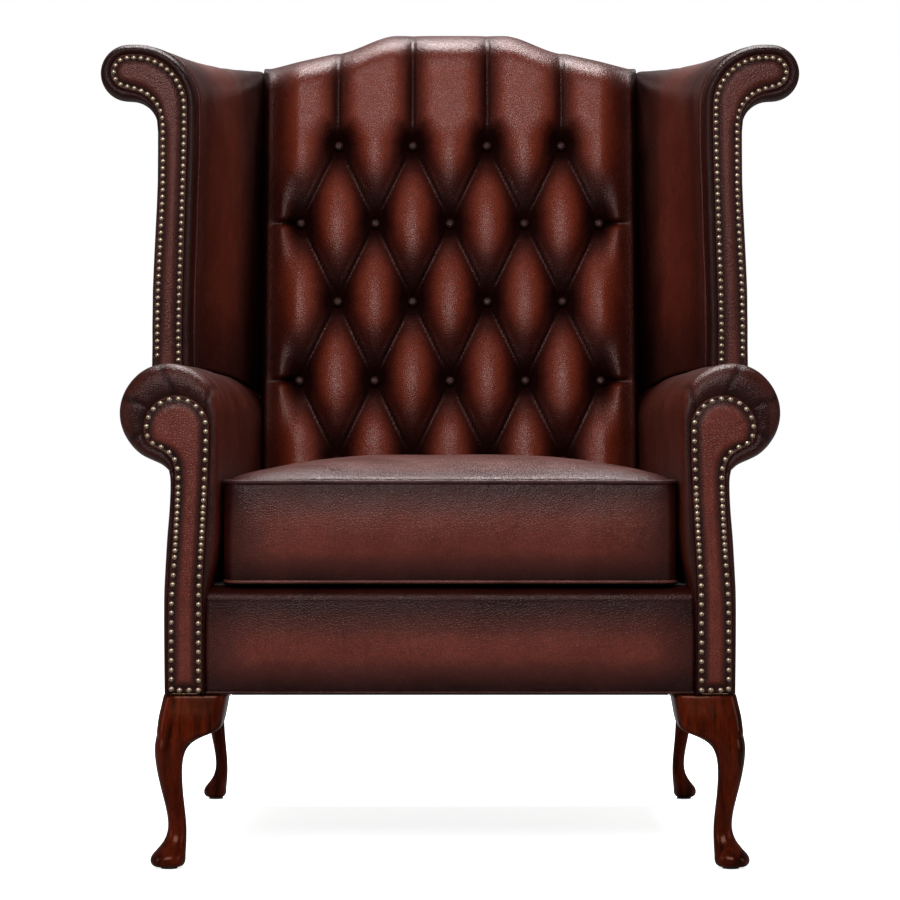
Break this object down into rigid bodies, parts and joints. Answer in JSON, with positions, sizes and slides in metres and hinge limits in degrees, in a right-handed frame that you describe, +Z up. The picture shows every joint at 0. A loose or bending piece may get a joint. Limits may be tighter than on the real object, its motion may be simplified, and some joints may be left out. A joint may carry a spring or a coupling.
{
  "type": "upholstered wing armchair",
  "caption": "Scroll-wing armchair with a tufted back, rolled arms with nailed facings, a loose seat cushion and cabriole legs with pad feet.",
  "frame": {"origin": "on the floor, under the middle of the chair's bounding box", "axes": "+Z up, -Y to the front of the chair, X across it"},
  "size_m": [0.8946, 0.8104, 1.0956],
  "materials": {
    "leather": "antiqued satin",
    "piping_leather": "satin",
    "button_leather": "satin",
    "mahogany": "polished",
    "beech": "sawn",
    "antique_brass": "aged",
    "steel": "zinc",
    "glide_plastic": "matt",
    "black_cloth": "matt",
    "jute": "woven",
    "foam": "matt"
  },
  "bodies": {
    "chair": {"front_leg_left": "mahogany", "front_leg_right": "mahogany", "rear_leg_left": "mahogany", "rear_leg_right": "mahogany", "front_rail": "beech", "rear_rail": "beech", "corner_blocks": "beech", "crest_rail": "beech", "lower_back_rail": "beech", "side_rail_left": "beech", "side_rail_right": "beech", "arm_post_left": "beech", "arm_post_right": "beech", "arm_board_left": "beech", "arm_board_right": "beech", "wing_post_left": "beech", "wing_post_right": "beech", "wing_rail_left": "beech", "wing_rail_right": "beech", "back_post_left": "beech", "back_post_right": "beech", "inside_back": "leather", "wing_pad_left": "leather", "wing_pad_right": "leather", "arm_pad_left": "leather", "arm_pad_right": "leather", "back_corner_pad_left": "leather", "back_corner_pad_right": "leather", "outside_back": "leather", "front_border": "leather", "wing_panel_left": "leather", "wing_panel_right": "leather", "arm_panel_left": "leather", "arm_panel_right": "leather", "wing_facing_left": "leather", "wing_facing_right": "leather", "arm_facing_left": "leather", "arm_facing_right": "leather", "back_buttons": "button_leather", "arm_nails_left": "antique_brass", "arm_nails_right": "antique_brass", "wing_nails_left": "antique_brass", "wing_nails_right": "antique_brass", "leg_bolts": "steel", "frame_screws": "steel", "seat_springs": "steel", "spring_clips": "steel", "foot_glides": "glide_plastic", "seat_platform": "black_cloth", "dust_cover": "black_cloth", "back_webbing": "jute", "back_hessian": "jute"},
    "cushion": {"seat_cushion": "leather", "cushion_core": "foam", "cushion_piping": "piping_leather", "zip_tape": "black_cloth"},
    "zip_pull": {"zip_slider": "antique_brass"}
  },
  "joints": [
    {"name": "cushion_lift", "type": "slide", "parent": "chair", "child": "cushion", "axis": [0, -0.9397, 0.342], "range_m": [0, 0.62]},
    {"name": "zip_slide", "type": "slide", "parent": "cushion", "child": "zip_pull", "axis": [1, 0, 0], "range_m": [0, 0.36]}
  ]
}
